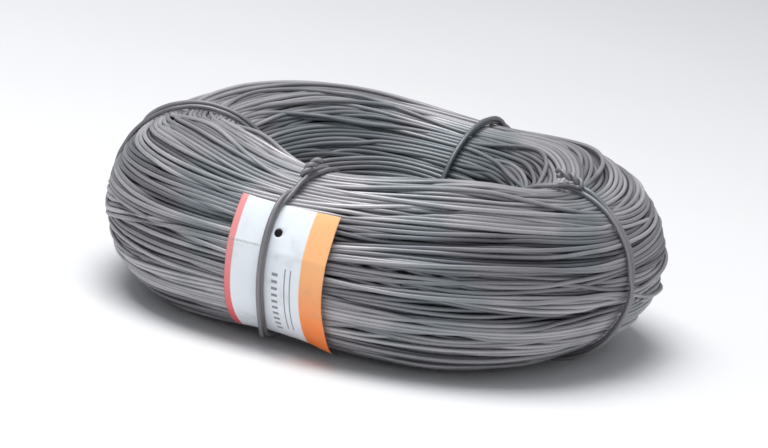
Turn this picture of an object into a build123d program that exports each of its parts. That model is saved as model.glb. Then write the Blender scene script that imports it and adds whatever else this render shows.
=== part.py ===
from build123d import *

import os
from math import cos, degrees, radians, sin

# A coil of black annealed wire, lying on its side as it lies on a floor. Lengths are in
# millimetres and angles in degrees. Z is the coil's axis, the floor is at z = 0, and the front of
# the coil faces -Y. Angles about Z start at +X. Angles round the bundle's section start at its
# outer side and grow towards its top.

# The wire, which is the same in the coil and in its ties
wire_diameter = 2.7

# The bundle
mean_radius = 111.0  # from the coil's axis to the middle of the bundle
waist_radius = 47.0  # of the bundle where a tie draws it in
belly_radius = 54.0  # of the bundle halfway between two ties
rest_flat = 1.5  # how deep the coil's own weight flattens each belly on the floor
lock_count = 18  # locks of wires lying together, counted round the bundle
lock_crown = 1.6  # how far the middle of a lock stands out from the grooves beside it

# The ties
front_tie_angle = -113.0
right_tie_angle = -27.0
back_tie_angle = 63.0
left_tie_angle = 172.0
tie_wire_sides = 5  # flats round a tie's wire, with one of them on the bundle
tie_pass_gap = 0.3  # between the two passes of one doubled tie wire
seat_clearance = 0.3  # between a tie, the label and what they lie on
twist_length = 16.0
twist_turns = 1.0
twist_lean = 22.0  # how far the twisted end stands up from the bundle
twist_overlap = 0.2  # how deep the two twisted wires press into each other
front_twist_angle = 72.0  # where each twisted end starts, round the section
right_twist_angle = 80.0
back_twist_angle = 20.0
left_twist_angle = 150.0

# The label
label_width = 60.0  # along the wires
label_length = 87.0  # round the bundle
label_thickness = 0.5
label_top_angle = 42.0  # of the label's upper end, round the section
label_shift = 7.5  # of the label's middle to the right of the front tie
label_hole_diameter = 5.0
label_hole_inset = 16.5  # from the label's upper end to the middle of the hole
label_hole_shift = 2.5  # of the hole's middle to the left of the label's middle

# Worked out from the sizes above
section_height = belly_radius - rest_flat  # of the bundle's middle above the floor
tie_angles = [front_tie_angle, right_tie_angle, back_tie_angle, left_tie_angle]
tie_pass_spacing = wire_diameter + tie_pass_gap
tie_radius = waist_radius + seat_clearance + wire_diameter / 2
label_radius = waist_radius + seat_clearance + label_thickness / 2
tie_over_label_radius = label_radius + label_thickness / 2 + seat_clearance + wire_diameter / 2
stations_per_span = 7  # sections that shape the bundle from one tie to the next


def radial_plane(angle):
    """The plane through the coil's axis at an angle: x runs outwards from the middle of the
    bundle's section, y runs up, and the normal runs along the wires."""
    outward = Vector(cos(radians(angle)), sin(radians(angle)), 0)
    middle = outward * mean_radius + Vector(0, 0, section_height)
    return Plane(origin=middle, x_dir=outward, z_dir=outward.cross(Vector(0, 0, 1)))


def bundle_radius(share):
    """The bundle's radius at a share of the way from one tie to the next: it swells from the waist
    at a tie to the belly halfway."""
    swell = sin(radians(180 * share)) ** 2
    return waist_radius + (belly_radius - waist_radius) * swell


def round_section(radius, angle):
    """A point on a circle round the section's middle, in a radial plane."""
    return radius * cos(radians(angle)), radius * sin(radians(angle))


def bundle_section(tie_angle, next_tie_angle, share):
    """The bundle's section, whose outline has one low ridge for each lock of wires."""
    crown_radius = bundle_radius(share)
    groove_radius = crown_radius - lock_crown
    lock_angle = 360 / lock_count
    plane = radial_plane(tie_angle + (next_tie_angle - tie_angle) * share)
    with BuildSketch(plane) as section:
        with BuildLine():
            for lock in range(lock_count):
                Polyline(
                    round_section(groove_radius, lock * lock_angle),
                    round_section(crown_radius, (lock + 0.5) * lock_angle),
                    round_section(groove_radius, (lock + 1) * lock_angle),
                )
        make_face()
    return section.sketch


def make_tie(tie_angle, loop_radius, twist_angle):
    """A doubled wire closed round the bundle, whose ends are twisted together and leaned over."""
    plane = radial_plane(tie_angle)
    foot = plane.from_local_coords(Vector(*round_section(loop_radius, twist_angle)))
    outward = (foot - plane.origin).normalized()
    onward = plane.z_dir.cross(outward)
    rise = onward * cos(radians(twist_lean)) + outward * sin(radians(twist_lean))
    strand_offset = (wire_diameter - twist_overlap) / 2
    with BuildSketch(Plane(origin=foot, x_dir=plane.z_dir, z_dir=rise)) as strands:
        with Locations((-strand_offset, 0), (strand_offset, 0)):
            RegularPolygon(wire_diameter / 2, tie_wire_sides, major_radius=False)
    twist = Solid.extrude_linear_with_rotation(
        strands.sketch.face().outer_wire(), foot, rise * twist_length, 360 * twist_turns
    )
    with BuildPart() as tie_wire:
        with BuildSketch(Plane(origin=plane.origin, x_dir=plane.z_dir, z_dir=plane.x_dir)):
            with Locations((-tie_pass_spacing / 2, loop_radius), (tie_pass_spacing / 2, loop_radius)):
                RegularPolygon(wire_diameter / 2, tie_wire_sides, major_radius=False, rotation=90)
        revolve(axis=Axis(plane.origin, plane.z_dir))
        add(twist)
    return tie_wire.part


# The coil: a span of the bundle from each tie to the next, flattened where it rests
shares = [i / (stations_per_span - 1) for i in range(stations_per_span)]
with BuildPart() as wire_coil:
    for tie_angle, next_tie_angle in zip(tie_angles, tie_angles[1:] + [tie_angles[0] + 360]):
        loft([bundle_section(tie_angle, next_tie_angle, share) for share in shares])
    split(bisect_by=Plane.XY, keep=Keep.TOP)

# The label: a sheet bent round the bundle under the front tie, with its punched hole
label_arc = degrees(label_length / label_radius)
hole_angle = label_top_angle - degrees(label_hole_inset / label_radius)
label_middle = radial_plane(front_tie_angle).offset(-label_shift)
hole_plane = label_middle.offset(label_hole_shift)
hole_middle = hole_plane.from_local_coords(Vector(*round_section(label_radius, hole_angle)))

with BuildPart() as label:
    with BuildSketch(label_middle.offset(-label_width / 2)):
        with BuildLine():
            CenterArc((0, 0), label_radius, label_top_angle, -label_arc)
        trace(line_width=label_thickness)
    extrude(amount=label_width)
    with BuildSketch(Plane(origin=hole_middle, z_dir=hole_middle - hole_plane.origin)):
        Circle(label_hole_diameter / 2)
    extrude(amount=2 * label_thickness, both=True, mode=Mode.SUBTRACT)

pieces = {
    "wire_coil": wire_coil.part,
    "tie_front": make_tie(front_tie_angle, tie_over_label_radius, front_twist_angle),
    "tie_right": make_tie(right_tie_angle, tie_radius, right_twist_angle),
    "tie_back": make_tie(back_tie_angle, tie_radius, back_twist_angle),
    "tie_left": make_tie(left_tie_angle, tie_radius, left_twist_angle),
    "label": label.part,
}
os.makedirs("parts", exist_ok=True)
for name, piece in pieces.items():
    piece.label = name
    export_step(piece, f"parts/{name}.step")
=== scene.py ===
"""Dresses the coil of black annealed wire: its wound turns, its four ties and its label.

Everything is worked out in millimetres in the coil's own frame, as the solid model is, and goes
into the meshes in metres. The coil's axis is +Z, the floor is at z = 0 and the front faces -Y.
Angles round the axis start at +X. Angles round the bundle's section start at its outer side and
grow towards its top.
"""

import logging
import math
from dataclasses import dataclass, field
from enum import Enum

import bpy
import numpy as np
from mathutils import Matrix, Vector

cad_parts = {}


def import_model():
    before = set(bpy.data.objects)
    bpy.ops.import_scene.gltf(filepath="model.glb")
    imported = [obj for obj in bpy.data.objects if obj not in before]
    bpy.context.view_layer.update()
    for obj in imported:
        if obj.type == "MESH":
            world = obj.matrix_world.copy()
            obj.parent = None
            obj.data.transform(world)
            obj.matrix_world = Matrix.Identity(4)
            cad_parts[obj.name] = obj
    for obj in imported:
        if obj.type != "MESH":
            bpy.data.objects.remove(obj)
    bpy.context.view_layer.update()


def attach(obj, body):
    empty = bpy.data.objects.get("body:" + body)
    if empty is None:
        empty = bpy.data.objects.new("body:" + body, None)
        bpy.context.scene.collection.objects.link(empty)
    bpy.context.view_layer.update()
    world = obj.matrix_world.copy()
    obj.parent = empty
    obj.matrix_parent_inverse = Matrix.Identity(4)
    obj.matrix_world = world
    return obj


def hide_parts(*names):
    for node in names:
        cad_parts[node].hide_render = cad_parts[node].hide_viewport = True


LOG = logging.getLogger("wire_coil")
MM = 0.001
WIRE_DIAMETER = 2.7
WIRE_RADIUS = WIRE_DIAMETER / 2
UP = np.array([0.0, 0.0, 1.0])
# The least length that is divided by
TINY = 1e-6

Array = np.ndarray
Rgb = tuple[float, float, float]
Place = tuple[float, float, float]
Socket = bpy.types.NodeSocket


def smooth_step(value: Array | float, low: float, high: float) -> Array:
    """Rises from 0 to 1 between two values.

    Args:
        value: Where the step is read.
        low: Where it leaves 0.
        high: Where it reaches 1.

    Returns:
        3 t^2 - 2 t^3, with t the share of the way from low to high, kept from 0 to 1.
    """
    t = np.clip((np.asarray(value, float) - low) / (high - low), 0.0, 1.0)
    return t * t * (3.0 - 2.0 * t)


def degrees_from(angle: Array, start: float) -> Array:
    """How far each angle lies from a start, in degrees from -180 to 180."""
    return (angle - start + 180.0) % 360.0 - 180.0


def running_sum(values: Array | list[int]) -> Array:
    """The sums of the first none, one, two and so on, up to all of the values."""
    return np.concatenate([[0], np.cumsum(values)])


def unit(vectors: Array) -> Array:
    """The vectors, one row each, at length 1."""
    return vectors / np.maximum(np.linalg.norm(vectors, axis=1, keepdims=True), TINY)


@dataclass(frozen=True)
class BundleShape:
    """The bundle of wires as a ring that the ties draw in.

    Attributes:
        mean_radius: From the coil's axis to the middle of the bundle.
        waist_radius: The bundle's radius where a tie draws it in.
        belly_radius: The bundle's radius halfway between two ties.
        section_height: Of the middle of the bundle above the floor.
        tie_angles: Degrees round the axis of the ties, in order.
    """

    mean_radius: float = 111.0
    waist_radius: float = 47.0
    belly_radius: float = 54.0
    section_height: float = 52.5
    tie_angles: tuple[float, ...] = (-113.0, -27.0, 63.0, 172.0)

    def share(self, angle: Array) -> Array:
        """How far from one tie to the next an angle lies.

        Args:
            angle: Degrees round the axis.

        Returns:
            The share of the way, from 0 at a tie to 1 at the next.
        """
        ties = np.array([*self.tie_angles, self.tie_angles[0] + 360.0])
        turn = (angle - ties[0]) % 360.0 + ties[0]
        return np.interp(turn, ties, np.arange(len(ties))) % 1.0

    def radius(self, angle: Array) -> Array:
        """The bundle's radius at an angle round the axis.

        Args:
            angle: Degrees round the axis.

        Returns:
            The waist plus the belly's rise times sin^2 of half a turn from one tie to the next.
        """
        swell = np.sin(math.pi * self.share(angle)) ** 2
        return self.waist_radius + (self.belly_radius - self.waist_radius) * swell

    def place(self, angle: Array, across: Array, up: Array) -> Array:
        """Carries points of the section to their places in the ring.

        Args:
            angle: Degrees round the axis, one for each point.
            across: How far outwards from the middle of the section.
            up: How far up from the middle of the section.

        Returns:
            An array of points, (mean radius + across) out from the axis at that angle.
        """
        turn = np.radians(angle)
        out = self.mean_radius + across
        return np.stack([out * np.cos(turn), out * np.sin(turn), self.section_height + up], axis=-1)


@dataclass(frozen=True)
class TiePlane:
    """The plane through the coil's axis in which a tie lies.

    Attributes:
        shape: The bundle that the tie goes round.
        angle: Degrees round the axis of the plane.
    """

    shape: BundleShape
    angle: float

    @property
    def outward(self) -> Array:
        """The direction away from the coil's axis."""
        return np.array([math.cos(math.radians(self.angle)), math.sin(math.radians(self.angle)), 0.0])

    @property
    def along(self) -> Array:
        """The direction along the wires, which is to the left for one who faces the tie."""
        return np.cross(self.outward, UP)

    def place(self, section_angle: Array, radius: Array, shift: Array) -> Array:
        """Carries points given round the section to their places.

        Args:
            section_angle: Degrees round the section from its outer side towards its top.
            radius: Distance from the middle of the section.
            shift: Distance along the wires from the tie's plane.

        Returns:
            An array of points: the middle, plus the radius in its direction, plus the shift.
        """
        turn = np.radians(section_angle)
        middle = self.outward * self.shape.mean_radius + self.shape.section_height * UP
        return (
            middle
            + np.multiply.outer(radius * np.cos(turn), self.outward)
            + np.multiply.outer(radius * np.sin(turn), UP)
            + np.multiply.outer(shift * np.ones_like(turn), self.along)
        )


def build_mesh(
    name: str,
    points: Array,
    quads: Array,
    caps: Array | None = None,
    point_values: dict[str, Array] | None = None,
    print_map: Array | None = None,
) -> bpy.types.Object:
    """Puts whole arrays into a new mesh object.

    Args:
        name: The object's name.
        points: Vertices in millimetres, one row each.
        quads: Four vertex numbers for each face.
        caps: Vertex numbers of the faces that close the ends, all with as many corners.
        point_values: Named attributes with one number or one vector for each vertex.
        print_map: A pair of texture coordinates for each vertex.

    Returns:
        The object, at the origin, with smooth shading.
    """
    mesh = bpy.data.meshes.new(name)
    corners = [quads.ravel()]
    starts = [np.arange(len(quads)) * 4]
    if caps is not None:
        corners.append(caps.ravel())
        starts.append(len(quads) * 4 + np.arange(len(caps)) * caps.shape[1])
    loops = np.concatenate(corners).astype(np.int32)
    loop_starts = np.concatenate(starts).astype(np.int32)
    mesh.vertices.add(len(points))
    mesh.vertices.foreach_set("co", (points * MM).astype(np.float32).ravel())
    mesh.loops.add(len(loops))
    mesh.loops.foreach_set("vertex_index", loops)
    mesh.polygons.add(len(loop_starts))
    mesh.polygons.foreach_set("loop_start", loop_starts)
    mesh.polygons.foreach_set("use_smooth", np.ones(len(loop_starts), bool))
    mesh.update(calc_edges=True)
    for attribute_name, values in (point_values or {}).items():
        kind, key = ("FLOAT_VECTOR", "vector") if values.ndim == 2 else ("FLOAT", "value")
        attribute = mesh.attributes.new(attribute_name, kind, "POINT")
        attribute.data.foreach_set(key, values.astype(np.float32).ravel())
    if print_map is not None:
        layer = mesh.uv_layers.new(name="print")
        layer.data.foreach_set("uv", print_map[loops].astype(np.float32).ravel())
    mesh.validate()
    piece = bpy.data.objects.new(name, mesh)
    bpy.context.collection.objects.link(piece)
    return piece


@dataclass
class WirePath:
    """Wires as one long row of points, cut where one wire ends and the next starts.

    Attributes:
        points: Places in millimetres, one row each.
        joined: For each point but the last, whether the next one lies on the same wire.
        tone: How light the wire is at each point, about 0 to 1.
    """

    points: Array
    joined: Array
    tone: Array

    def directions(self) -> Array:
        """The wire's direction at each point.

        Returns:
            The sum of the steps to and from the point that lie on the same wire, at length 1.
        """
        step = np.zeros_like(self.points)
        ahead = np.diff(self.points, axis=0) * self.joined[:, None]
        step[:-1] += ahead
        step[1:] += ahead
        return unit(step)

    def lengths(self) -> Array:
        """The length of the row from its first point to each point."""
        return running_sum(np.linalg.norm(np.diff(self.points, axis=0), axis=1))

    def tubes(self, name: str, radius: float, sides: int, lift: Array) -> bpy.types.Object:
        """Draws a round wire along each path.

        A vertex is the path's point plus the radius times (cos a times one normal plus sin a
        times the other), with a going once round in equal steps.

        Args:
            name: The object's name.
            radius: The wire's radius.
            sides: How many flats go round the wire.
            lift: For each point, a direction that isn't the wire's own, to start the round from.

        Returns:
            The object, with its ends closed and the attributes "skin", which is the place across
            and along the wire in metres, and "tone".
        """
        along = self.directions()
        normal = unit(lift - (lift * along).sum(1, keepdims=True) * along)
        other = np.cross(along, normal)
        turn = np.arange(sides) * (2 * math.pi / sides)
        around = np.cos(turn)[None, :, None] * normal[:, None] + np.sin(turn)[None, :, None] * other[:, None]
        points = (self.points[:, None] + radius * around).reshape(-1, 3)
        count = len(self.points)
        rows = np.nonzero(self.joined)[0][:, None] * sides
        k = np.arange(sides)[None, :]
        onward = (k + 1) % sides
        quads = np.stack([rows + k, rows + onward, rows + sides + onward, rows + sides + k], -1)
        first = np.concatenate([[0], np.nonzero(~self.joined)[0] + 1])
        last = np.concatenate([np.nonzero(~self.joined)[0], [count - 1]])
        caps = np.concatenate([first[:, None] * sides + k[:, ::-1], last[:, None] * sides + k])
        skin = np.empty((count, sides, 3))
        skin[..., 0] = radius * np.cos(turn)
        skin[..., 1] = radius * np.sin(turn)
        skin[..., 2] = self.lengths()[:, None]
        values = {"skin": skin.reshape(-1, 3) * MM, "tone": np.repeat(self.tone, sides)}
        return build_mesh(name, points, quads.reshape(-1, 4), caps, values)


@dataclass(frozen=True)
class Furrow:
    """A dark furrow between two locks, which runs along a line over the bundle.

    Attributes:
        angles: Degrees round the axis where the line starts, bends and ends.
        sections: Degrees round the section of the line at each of them.
        width: Of the gap between the middles of the turns beside it.
        depth: How far the turns in its middle go down.
        beyond: Degrees past each end of the line at which the furrow has closed.
        within: Degrees inside each end at which it is fully open.
        slope: The breadth of its slopes, as a share of its width.
    """

    angles: tuple[float, ...]
    sections: tuple[float, ...]
    width: float = 4.8
    depth: float = 4.6
    beyond: float = 7.0
    within: float = 5.0
    slope: float = 0.6

    def reading(self, angle: Array, section: Array, reach: Array) -> tuple[Array, Array]:
        """How points lie to the furrow.

        Args:
            angle: Degrees round the axis of each point.
            section: Radians round the section of each point.
            reach: Distance of each point from the middle of the section.

        Returns:
            The arc length from the furrow's line to the point, and how open the furrow is at the
            point's angle, from 0 past its ends to 1.
        """
        first, last = self.angles[0], self.angles[-1]
        middle = 0.5 * (first + last)
        turn = degrees_from(angle, middle) + middle
        line = np.radians(np.interp(turn, self.angles, self.sections))
        away = (section - line + math.pi) % (2 * math.pi) - math.pi
        begun = smooth_step(turn, first - self.beyond, first + self.within)
        unended = smooth_step(-turn, -last - self.beyond, -last + self.within)
        return away * reach, begun * unended

    def drop(self, angle: Array, section: Array, reach: Array) -> Array:
        """How far points go down in the furrow.

        Args:
            angle: Degrees round the axis of each point.
            section: Radians round the section of each point.
            reach: Distance of each point from the middle of the section.

        Returns:
            The depth times exp(-d^2), with d the distance from the furrow's line over the breadth
            of its slopes.
        """
        away, opened = self.reading(angle, section, reach)
        return opened * self.depth * np.exp(-((away / (self.slope * self.width)) ** 2))


@dataclass(frozen=True)
class Settling:
    """How turns that press into each other are pushed apart.

    Attributes:
        rounds: How many rounds there are.
        sort_every: After how many rounds the turns are put in order round the section again.
        near: How many of the next turns in that order a turn is kept clear of.
        push: The share of a push that is made in one round.
        stiffness: The share of a bend that the wire takes back in one round.
        pull: The share of its way that a turn is drawn back to where it was laid in one round.
        pulled: The share of the rounds in which it is drawn back.
        slide: The share of what a turn lacks to a furrow's edge that it slides in one round.
        slide_most: The most that counts of what it lacks.
        slide_reach: What it may lack before it is taken to pass somewhere else.
    """

    rounds: int = 320
    sort_every: int = 4
    near: int = 16
    push: float = 0.45
    stiffness: float = 0.5
    pull: float = 0.01
    pulled: float = 0.7
    slide: float = 0.2
    slide_most: float = 3.0
    slide_reach: float = 16.0


@dataclass(frozen=True)
class Straying:
    """How single turns are lifted off the bundle between two ties.

    Attributes:
        tries: How many spots are picked at which a turn may be lifted.
        sides: Degrees round the section between which the spots lie, clear of the floor.
        catch: Degrees round the axis and round the section within which a turn passes a spot.
        top: How far below the bundle's surface a turn may lie to be lifted.
        middle: The shares of the way from tie to tie between which the spot has to lie.
        rise: The least and the most that a turn is lifted.
        slide: The least and the most that it slides round the bundle.
        ease: The power of the sine that it rises by, which keeps it down near the ties.
        lowest: The most below the surface that it rises from, at the middle of its rise.
    """

    tries: int = 46
    sides: tuple[float, float] = (-95.0, 135.0)
    catch: tuple[float, float] = (4.0, 6.0)
    top: float = 2.0
    middle: tuple[float, float] = (0.15, 0.85)
    rise: tuple[float, float] = (1.8, 3.4)
    slide: tuple[float, float] = (4.0, 11.0)
    ease: float = 1.3
    lowest: float = 1.2


@dataclass
class Lock:
    """A lock: one length of wire wound several times round, with its turns side by side.

    Attributes:
        layer: The number of its layer, from 0 on the outside.
        points: Six rows with a number for each point: degrees round the axis, degrees round the
            section, depth below the bundle's surface, the share of a dive, how much lower it is
            held than the lock's middle, and tone.
        lanes: The number of the point at each station, with a row for each turn.
    """

    layer: int
    points: Array
    lanes: Array


@dataclass
class Winding:
    """The wire wound into the bundle: locks of turns that wander over and under each other.

    The turns are settled by pushing apart those that press into each other, with the ties and
    the wire's own stiffness holding them in.

    Attributes:
        shape: The bundle that they fill.
        seed: Starts the random draws.
        stations: How many points a turn has.
        layer_fill: For each layer, the share of its girth at a tie that its turns take up.
        layer_step: How much deeper each layer is laid than the last.
        lock_turns: The fewest turns of a lock, and a number that they stay below, though one or
            two turns that would be left over are added to the layer's last lock.
        lock_gaps: The least and the most that the gap after a lock gets, in fair shares of the
            spare girth.
        lock_press: How close a lock's turns are laid, as a share of their slots.
        lock_tones: Between which tones a lock's lies.
        turn_tones: How much the tones of a lock's turns differ.
        wander: How far a lock swings round the section, in degrees, once, twice and so on round
            the axis.
        top_wander: How many times as far the outer layer swings.
        side_wander: How much further a lock swings on the coil's outside, and less in its eye.
        crown: How much lower the outer turns of a lock are held than its middle.
        sink: How far each of a lock's slow waves sinks below its layer.
        packing: How closely the turns lie, as a share of the closest packing.
        packed_area: The room of a wire in the closest packing, over the square of its diameter.
        dive: How deep the ends of a lock go into the bundle.
        dive_reach: The share of a turn that they take for it.
        painted_groove_shade: What is added to the tone of a wire that lies in a groove: painted
            shade that darkens the turns that lie deep.
        proud_tone: How much more is added where it lies outside. It takes the painted shade off
            and lightens the wire where it has rubbed.
        groove_to_proud_depths: How far the wire's middle lies out from its place in the surface
            where the painted groove shade is full, and where the rubbing is full.
        furrows: The furrows between locks.
        settling: How the turns are pushed apart.
        straying: How loose turns are lifted.
        across: How far each point lies outwards from the middle of the section.
        up: How far up from it.
        angle: Degrees round the axis of each point.
        joined: For each point but the last, whether the next one lies on the same wire.
        tone: How light the wire is at each point.
        grid: The number of the point at each station, with a row for each turn.
        deepest: How much deeper than the rest each point may go.
        lowered: How much lower than its lock's middle each point is held.
        layer: The layer of each point.
    """

    shape: BundleShape
    seed: int = 11
    stations: int = 96
    layer_fill: tuple[float, ...] = (0.62, 0.96, 0.86)
    layer_step: float = 2.0
    lock_turns: tuple[int, int] = (3, 9)
    lock_gaps: tuple[float, float] = (0.4, 1.6)
    lock_press: float = 0.93
    lock_tones: tuple[float, float] = (0.22, 0.82)
    turn_tones: float = 0.20
    wander: tuple[float, ...] = (5.0, 4.5, 3.5, 2.4)
    top_wander: float = 1.6
    side_wander: float = 0.45
    crown: float = 1.8
    sink: float = 0.9
    packing: float = 0.86
    packed_area: float = 0.866
    dive: float = 6.5
    dive_reach: float = 0.16
    painted_groove_shade: float = -0.32
    proud_tone: float = 0.46
    groove_to_proud_depths: tuple[float, float] = (-3.6, 0.2)
    furrows: tuple[Furrow, ...] = (
        Furrow((-145.0, -111.0, -62.0), (17.0, 23.0, 38.0)),
        Furrow((-137.0, -120.0), (8.0, 12.0), 3.6, 3.2),
        Furrow((-154.0, -136.0), (1.0, 2.0), 3.6, 3.2),
        Furrow((-88.0, -32.0), (24.0, 25.5)),
        Furrow((-82.0, -50.0, -31.0), (-4.5, -15.0, -11.0)),
        Furrow((-101.0, -74.0), (43.0, 57.0), 3.0, 2.6),
        Furrow((-96.0, -70.0), (-36.0, -26.0), 3.6, 3.2),
    )
    settling: Settling = Settling()
    straying: Straying = Straying()
    across: Array = field(init=False)
    up: Array = field(init=False)
    angle: Array = field(init=False)
    joined: Array = field(init=False)
    tone: Array = field(init=False)
    grid: Array = field(init=False)
    deepest: Array = field(init=False)
    lowered: Array = field(init=False)
    layer: Array = field(init=False)

    def lay_out(self) -> None:
        """Lays the locks side by side, layer by layer, before they settle.

        In the outer layer the girth that is left over goes into gaps between the locks. The
        turns of the layers below are spread over all of theirs.
        """
        rng = np.random.default_rng(self.seed)
        locks: list[Lock] = []
        for layer, fill in enumerate(self.layer_fill):
            ring = self.shape.waist_radius - WIRE_RADIUS - layer * self.layer_step
            turns = int(round(fill * 2 * math.pi * ring / WIRE_DIAMETER))
            slot = 360.0 / turns * (fill if layer == 0 else 1.0)
            spare = 360.0 - slot * turns
            first, left = rng.uniform(0, 360), turns
            while left > 0:
                size = min(int(rng.integers(*self.lock_turns)), left)
                if left - size in (1, 2):
                    size = left
                locks.append(self.lay_lock(rng, layer, size, slot, first))
                first += slot * size + (spare * size / turns) * rng.uniform(*self.lock_gaps)
                left -= size
        counts = [lock.points.shape[1] for lock in locks]
        starts = running_sum(counts)
        points = np.concatenate([lock.points for lock in locks], axis=1)
        self.angle, section, depth, dive, self.lowered, tone = points
        section = np.radians(section)
        radius = self.shape.radius(self.angle) - WIRE_RADIUS - depth
        self.across, self.up = radius * np.cos(section), radius * np.sin(section)
        self.tone = np.clip(tone, 0, 1)
        self.deepest = dive * self.dive
        self.layer = np.repeat([lock.layer for lock in locks], counts)
        self.grid = np.concatenate([start + lock.lanes for start, lock in zip(starts, locks)])
        self.joined = np.ones(len(self.angle) - 1, bool)
        self.joined[starts[1:-1] - 1] = False

    def lay_lock(self, rng: np.random.Generator, layer: int, size: int, slot: float, first: float) -> Lock:
        """Lays out one lock.

        A turn's place round the section is the lock's, plus a slot for each turn round the axis,
        plus the lock's wander, a sum of slow waves round the axis. Its depth is its layer's,
        plus a slow wave, plus a dive into the bundle at the lock's ends. It is held lower than
        the lock's middle by the crown times the square of its place in the lock.

        Args:
            rng: Gives the random draws.
            layer: The number of its layer.
            size: How many turns it has.
            slot: Degrees round the section for each turn.
            first: Degrees round the section where the lock starts.

        Returns:
            The lock.
        """
        count = size * self.stations + 1
        start = int(rng.integers(self.stations))
        step = np.arange(count)
        turn = (start + step) * 360.0 / self.stations
        wave = np.zeros(count)
        sink = np.zeros(count)
        for harmonic, swing in enumerate(self.wander, 1):
            round_by = np.radians(harmonic * turn)
            wave += rng.normal(0, swing) * np.cos(round_by + rng.uniform(0, 2 * math.pi))
            sink += rng.normal(0, self.sink) * np.cos(round_by + rng.uniform(0, 2 * math.pi))
        reach = self.dive_reach * self.stations
        dive = 1.0 - smooth_step(step, 0, reach) * smooth_step(count - 1 - step, 0, reach)
        place = step / self.stations - 0.5 * size
        outside = math.cos(math.radians(first + 0.5 * slot * size))
        wave *= (1.0 + self.side_wander * outside) * (self.top_wander if layer == 0 else 1.0)
        angle = turn + self.shape.tie_angles[0]
        section = first + slot * 0.5 * size + self.lock_press * slot * place + wave
        depth = layer * self.layer_step + np.abs(sink) + self.dive * dive
        lowered = self.crown * (2.0 * place / size) ** 2
        tone = rng.uniform(*self.lock_tones)
        tone = tone + rng.normal(0, self.turn_tones, size + 1)[step // self.stations]
        lane = (np.arange(self.stations) - start) % self.stations
        lanes = lane[None, :] + np.arange(size)[:, None] * self.stations
        return Lock(layer, np.stack([angle, section, depth, dive, lowered, tone]), lanes)

    def band(self) -> Array:
        """How deep the turns that are drawn one by one reach at each point's angle.

        Returns:
            Their number times the room that each takes up, over the girth in their midst, which
            is one and a half wires below the surface.
        """
        girth = 2 * math.pi * (self.shape.radius(self.angle) - 1.5 * WIRE_DIAMETER)
        return len(self.grid) * self.packed_area * WIRE_DIAMETER**2 / (self.packing * girth)

    def settle(self) -> None:
        """Pushes apart the turns that press into each other, round by round.

        In each round the turns at each station are pushed from those next to them, the push is
        taken up by the wire's stiffness as a running mean along the wire, the outer turns slide
        out of the furrows, and the ties, the core and the floor push back what has left the
        bundle.
        """
        settling = self.settling
        wall = self.shape.radius(self.angle) - WIRE_RADIUS
        inner = wall + WIRE_DIAMETER - self.band() - self.deepest
        outer = wall - self.lowered * (self.layer == 0)
        floor = WIRE_RADIUS - self.shape.section_height
        inside = np.append(self.joined, False) & np.insert(self.joined, 0, False)
        columns = np.broadcast_to(np.arange(self.stations), self.grid.shape)
        guide = np.stack([self.across, self.up])
        spot = guide.copy()
        sides = [self.side_of(furrow) for furrow in self.furrows]
        for done in range(settling.rounds):
            if done % settling.sort_every == 0:
                order = np.argsort(np.arctan2(spot[1][self.grid], spot[0][self.grid]), axis=0)
                ranked = self.grid[order, columns]
            push = self.push_apart(spot[:, ranked])
            spot[:, ranked.ravel()] += settling.push * push.reshape(2, -1)
            mean = 0.5 * (np.roll(spot, 1, axis=1) + np.roll(spot, -1, axis=1))
            spot += settling.stiffness * np.where(inside, mean - spot, 0.0)
            if done < settling.rounds * settling.pulled:
                spot += settling.pull * (guide - spot)
            self.part(spot, sides)
            reach = np.hypot(*spot)
            held = np.clip(reach, np.minimum(inner, outer), outer)
            spot *= held / np.maximum(reach, TINY)
            spot[1] = np.maximum(spot[1], floor)
        self.across, self.up = spot

    def push_apart(self, placed: Array) -> Array:
        """How far turns have to move to clear the ones near them.

        Of two turns that are nearer than a wire's diameter, each is pushed along the line
        between them by half of what they lack.

        Args:
            placed: How far across and up each turn is at each station, in order round the
                section.

        Returns:
            The push on each, across and up.
        """
        push = np.zeros_like(placed)
        for k in range(1, self.settling.near + 1):
            gap = placed - np.roll(placed, -k, axis=1)
            distance = np.sqrt((gap**2).sum(0)) + TINY
            share = 0.5 * np.clip(WIRE_DIAMETER - distance, 0, None) / distance * gap
            push += share
            push -= np.roll(share, k, axis=1)
        return push

    def side_of(self, furrow: Furrow) -> Array:
        """Which side of a furrow each turn of the outer layer passes on.

        Args:
            furrow: The furrow.

        Returns:
            For each point the sign of its turn's summed distance from the furrow's line over the
            stretch where the furrow is open, and 0 elsewhere and in the lower layers.
        """
        section = np.arctan2(self.up, self.across)
        away, opened = furrow.reading(self.angle, section, np.hypot(self.across, self.up))
        beside = (opened > 0) & (self.layer == 0)
        starts = beside & ~np.insert(beside[:-1] & self.joined, 0, False)
        turn = np.cumsum(starts)
        return np.sign(np.bincount(turn, away * beside))[turn] * beside

    def part(self, spot: Array, sides: list[Array]) -> None:
        """Slides the outer layer's turns a little way out of each furrow.

        A point slides round the section by a share of what it lacks to its own side's edge of
        the furrow, if that isn't far.

        Args:
            spot: How far across and up each point is, which is changed in place.
            sides: For each furrow, the side of it on which each point belongs.
        """
        settling = self.settling
        for furrow, side in zip(self.furrows, sides):
            reach = np.hypot(*spot)
            away, opened = furrow.reading(self.angle, np.arctan2(spot[1], spot[0]), reach)
            lacking = np.clip(0.5 * furrow.width - side * away, 0.0, None)
            near = lacking < settling.slide_reach
            lacking = np.where(near, np.minimum(lacking, settling.slide_most), 0.0)
            slide = settling.slide * side * opened * lacking / np.maximum(reach, 1.0)
            spot += slide * np.stack([-spot[1], spot[0]])

    def open_furrows(self) -> None:
        """Lowers the settled turns along each furrow, those that lie on each other together."""
        reach = np.hypot(self.across, self.up)
        section = np.arctan2(self.up, self.across)
        sunk = np.zeros(len(reach))
        for furrow in self.furrows:
            sunk = np.maximum(sunk, furrow.drop(self.angle, section, reach))
        self.across *= 1 - sunk / reach
        self.up *= 1 - sunk / reach

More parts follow.
